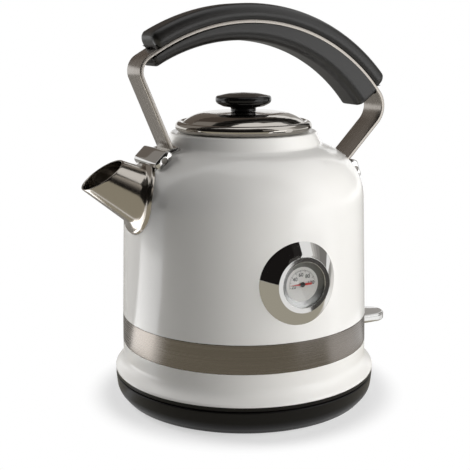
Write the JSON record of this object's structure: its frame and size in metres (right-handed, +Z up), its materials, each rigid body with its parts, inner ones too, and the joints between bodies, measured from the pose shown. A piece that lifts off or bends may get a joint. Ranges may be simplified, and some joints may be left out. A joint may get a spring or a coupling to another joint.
{
  "type": "electric kettle",
  "caption": "Round-shouldered cordless electric kettle with an arched strap handle, lift-off domed lid, conical spout, dial thermometer and rocker lever, standing on a round power base.",
  "frame": {"origin": "on the table, under the kettle's vertical axis", "axes": "+Z up; spout towards -X, switch lever towards +X, thermometer on the -Y side"},
  "size_m": [0.2208, 0.1718, 0.2522],
  "materials": {
    "white_enamel": "gloss",
    "white_plastic": "gloss",
    "black_plastic": "satin",
    "black_grip": "satin",
    "gloss_black": "gloss",
    "rubber": "matte",
    "brushed_steel": "brushed",
    "polished_steel": "mirror polished",
    "chrome": "polished",
    "steel": "satin",
    "fastener_steel": "plain",
    "brass": "plain",
    "aluminium": "plain",
    "glass": "polished",
    "dial_white": "matt print",
    "dial_grey": "satin",
    "needle_red": "matt"
  },
  "bodies": {
    "power_base": {"base_shell": "black_plastic", "base_cover": "black_plastic", "base_feet": "rubber", "base_screws": "fastener_steel", "cord_gland": "rubber"},
    "connector": {"base_connector": "black_plastic", "contact_pin": "brass", "contact_ring_inner": "brass", "contact_ring_outer": "brass"},
    "kettle": {"bottom_tray": "black_plastic", "bottom_screws": "fastener_steel", "skirt": "white_plastic", "trim_band": "brushed_steel", "body_shell": "white_enamel", "mouth_ring": "white_enamel", "vessel_floor": "steel", "diffuser_plate": "aluminium", "heating_element": "steel", "control_unit": "black_plastic", "control_screws": "fastener_steel", "socket_contacts": "brass", "overheat_discs": "brass", "steam_tube": "steel", "tube_grommet": "rubber", "switch_housing": "black_plastic", "lever_pin": "fastener_steel", "steam_disc": "brass", "spout": "polished_steel", "spout_filter": "steel", "handle_strap": "brushed_steel", "grip_upper": "black_grip", "grip_lower": "black_grip", "grip_screws": "fastener_steel", "front_bracket": "chrome", "rear_bracket": "chrome", "bracket_studs": "fastener_steel", "bracket_nuts": "fastener_steel", "cross_screws": "fastener_steel", "thermometer_bezel": "chrome", "thermometer_case": "steel", "thermometer_seal": "rubber", "thermometer_nut": "fastener_steel", "bimetal_coil": "brass", "dial_plate": "dial_white", "dial_surround": "dial_grey", "dial_lens": "glass"},
    "lid": {"lid_shell": "polished_steel", "lid_plug": "steel", "lid_seal": "rubber", "lid_knob": "gloss_black", "knob_screw": "fastener_steel"},
    "switch": {"switch_lever": "chrome"},
    "plunger": {"contact_plunger": "black_plastic"},
    "needle": {"thermometer_needle": "needle_red"}
  },
  "joints": [
    {"name": "kettle_swivel", "type": "hinge", "parent": "power_base", "child": "connector", "pos_m": [0, 0, 0.02], "axis": [0, 0, 1], "continuous": true},
    {"name": "kettle_lift", "type": "slide", "parent": "connector", "child": "kettle", "axis": [0, 0, 1], "range_m": [0, 0.12]},
    {"name": "lid_lift", "type": "slide", "parent": "kettle", "child": "lid", "axis": [0, 0, 1], "range_m": [0, 0.028]},
    {"name": "switch_rock", "type": "hinge", "parent": "kettle", "child": "switch", "pos_m": [0.067, 0, 0.036], "axis": [0, 1, 0], "range_deg": [0, 14]},
    {"name": "plunger_press", "type": "slide", "parent": "kettle", "child": "plunger", "axis": [0, 0, 1], "range_m": [0, 0.002]},
    {"name": "needle_turn", "type": "hinge", "parent": "kettle", "child": "needle", "pos_m": [-0.00452, -0.07836, 0.0911], "axis": [0.0575, 0.9978, -0.0325], "range_deg": [-11, 177]}
  ],
  "couplings": [
    {"joint": "plunger_press", "follows": "switch_rock", "m_per_rad": 0.008}
  ]
}
